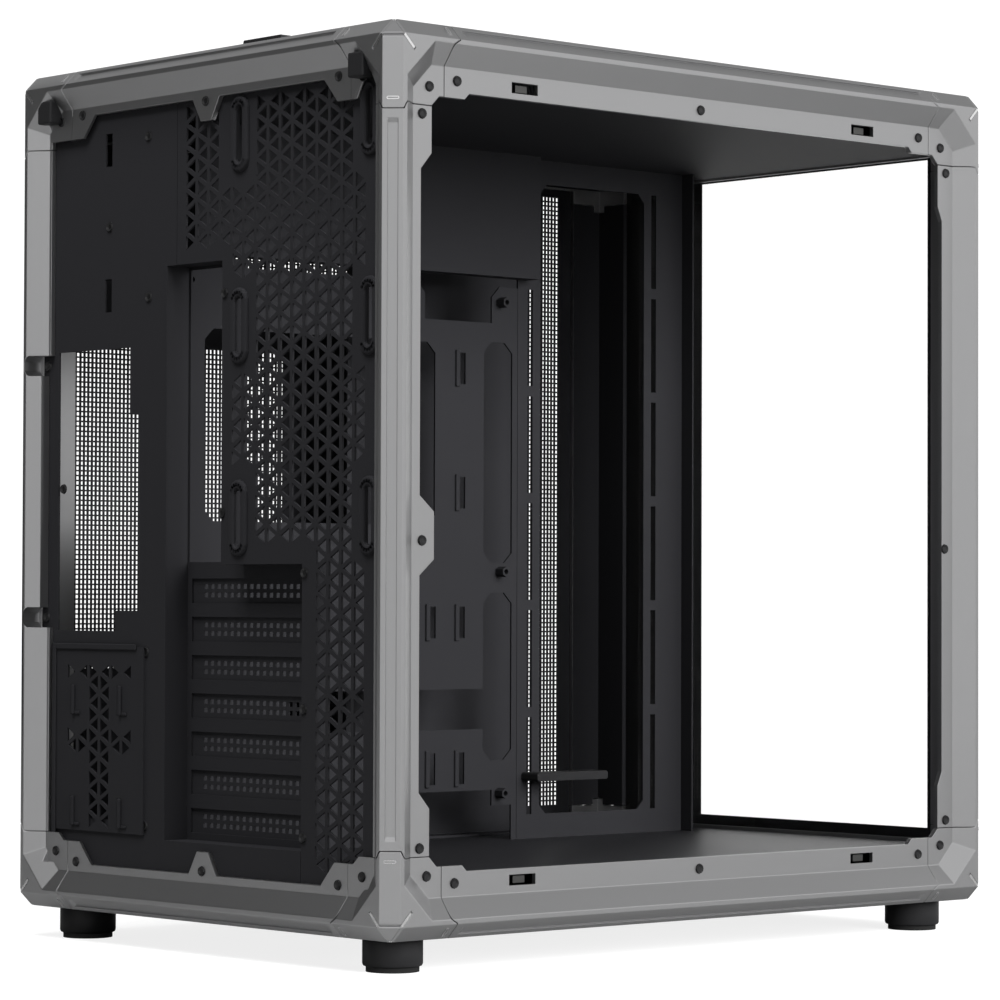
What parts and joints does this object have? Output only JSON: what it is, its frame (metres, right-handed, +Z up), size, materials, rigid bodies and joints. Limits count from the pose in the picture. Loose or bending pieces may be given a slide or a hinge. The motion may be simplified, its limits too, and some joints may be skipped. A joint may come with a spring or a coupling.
{
  "type": "computer case",
  "caption": "Open-sided computer case: chamfered aluminium frame with corner caps, black steel inner panels, triangle vent grille at the rear, perforated side and glass front.",
  "frame": {"origin": "on the floor under the middle of the frame", "axes": "+Z up, +Y to the rear wall with the slots, -X out of the open left side"},
  "size_m": [0.32, 0.446, 0.479],
  "materials": {
    "frame_aluminium": "satin anodised",
    "black_steel": "fine powder coat",
    "black_plastic": "fine moulded grain",
    "sole_rubber": "matt",
    "front_glass": "clear with a black border",
    "catch_steel": "bare"
  },
  "bodies": {
    "case": {"air_guide_cover": "black_steel", "bottom_filter": "black_steel", "bottom_panel": "black_steel", "bracket_arm": "black_plastic", "corner_cap_front_left_bottom": "frame_aluminium", "corner_cap_front_left_top": "frame_aluminium", "corner_cap_front_right_bottom": "frame_aluminium", "corner_cap_front_right_top": "frame_aluminium", "corner_cap_rear_left_bottom": "frame_aluminium", "corner_cap_rear_left_top": "frame_aluminium", "corner_cap_rear_right_bottom": "frame_aluminium", "corner_cap_rear_right_top": "frame_aluminium", "cover_pull_tab": "black_plastic", "drive_access_plate": "black_steel", "drive_plate": "black_steel", "foot_front_left": "black_plastic", "foot_front_right": "black_plastic", "foot_pad_front_left": "sole_rubber", "foot_pad_front_right": "sole_rubber", "foot_pad_rear_left": "sole_rubber", "foot_pad_rear_right": "sole_rubber", "foot_rear_left": "black_plastic", "foot_rear_right": "black_plastic", "front_glass": "front_glass", "motherboard_tray": "black_steel", "panel_catches": "catch_steel", "post_front_left": "frame_aluminium", "post_front_right": "frame_aluminium", "post_rear_left": "frame_aluminium", "post_rear_right": "frame_aluminium", "rail_front_bottom": "frame_aluminium", "rail_front_top": "frame_aluminium", "rail_left_bottom": "frame_aluminium", "rail_left_top": "frame_aluminium", "rail_rear_bottom": "frame_aluminium", "rail_rear_top": "frame_aluminium", "rail_right_bottom": "frame_aluminium", "rail_right_top": "frame_aluminium", "rear_clip_left": "black_plastic", "rear_clip_right": "black_plastic", "rear_panel": "black_steel", "rear_vent_plate": "black_steel", "right_panel": "black_steel", "side_fan_bracket": "black_steel", "slot_bracket": "black_steel", "slot_cover_1": "black_steel", "slot_cover_2": "black_steel", "slot_cover_3": "black_steel", "slot_cover_4": "black_steel", "slot_cover_5": "black_steel", "slot_cover_6": "black_steel", "slot_cover_7": "black_steel", "switch_panel": "black_plastic", "top_cover": "black_steel", "top_panel": "black_steel"},
    "button": {"power_button": "black_plastic"}
  },
  "joints": [
    {"name": "button_press", "type": "slide", "parent": "case", "child": "button", "axis": [0, 0, -1], "range_m": [0, 0.0012], "stiffness_N_per_m": 800}
  ]
}
